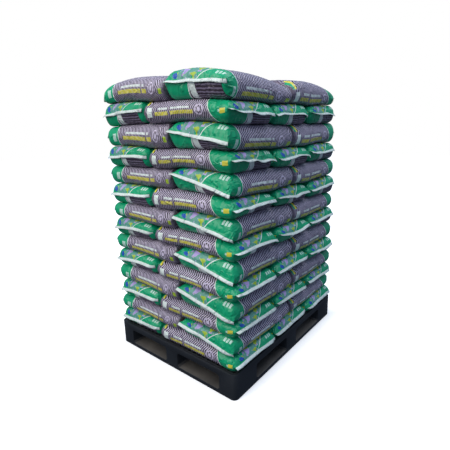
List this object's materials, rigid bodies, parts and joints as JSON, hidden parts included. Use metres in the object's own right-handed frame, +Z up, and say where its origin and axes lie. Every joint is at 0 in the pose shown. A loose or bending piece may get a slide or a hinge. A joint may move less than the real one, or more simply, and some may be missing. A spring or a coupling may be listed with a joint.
{
  "type": "pallet of sacks",
  "caption": "Moulded plastic pallet with four-way fork entry, carrying a bonded stack of filled film sacks in layers turned half round on each other.",
  "frame": {"origin": "middle of the pallet's underside", "axes": "+Z up, +X along the pallet's 1.2 m side, +Y along its 1.0 m side"},
  "size_m": [1.2282, 1.0346, 1.7188],
  "materials": {
    "black_plastic": "black moulded polyolefin, slightly satin",
    "printed_film": "printed polyethylene film, satin, green and grey-purple"
  },
  "bodies": {
    "root": {"pallet": "black_plastic", "sack_layer_01": "printed_film", "sack_layer_02": "printed_film", "sack_layer_03": "printed_film", "sack_layer_04": "printed_film", "sack_layer_05": "printed_film", "sack_layer_06": "printed_film", "sack_layer_07": "printed_film", "sack_layer_08": "printed_film", "sack_layer_09": "printed_film", "sack_layer_10": "printed_film", "sack_layer_11": "printed_film", "sack_layer_12": "printed_film", "sack_layer_13": "printed_film", "sack_layer_14": "printed_film"}
  },
  "joints": []
}
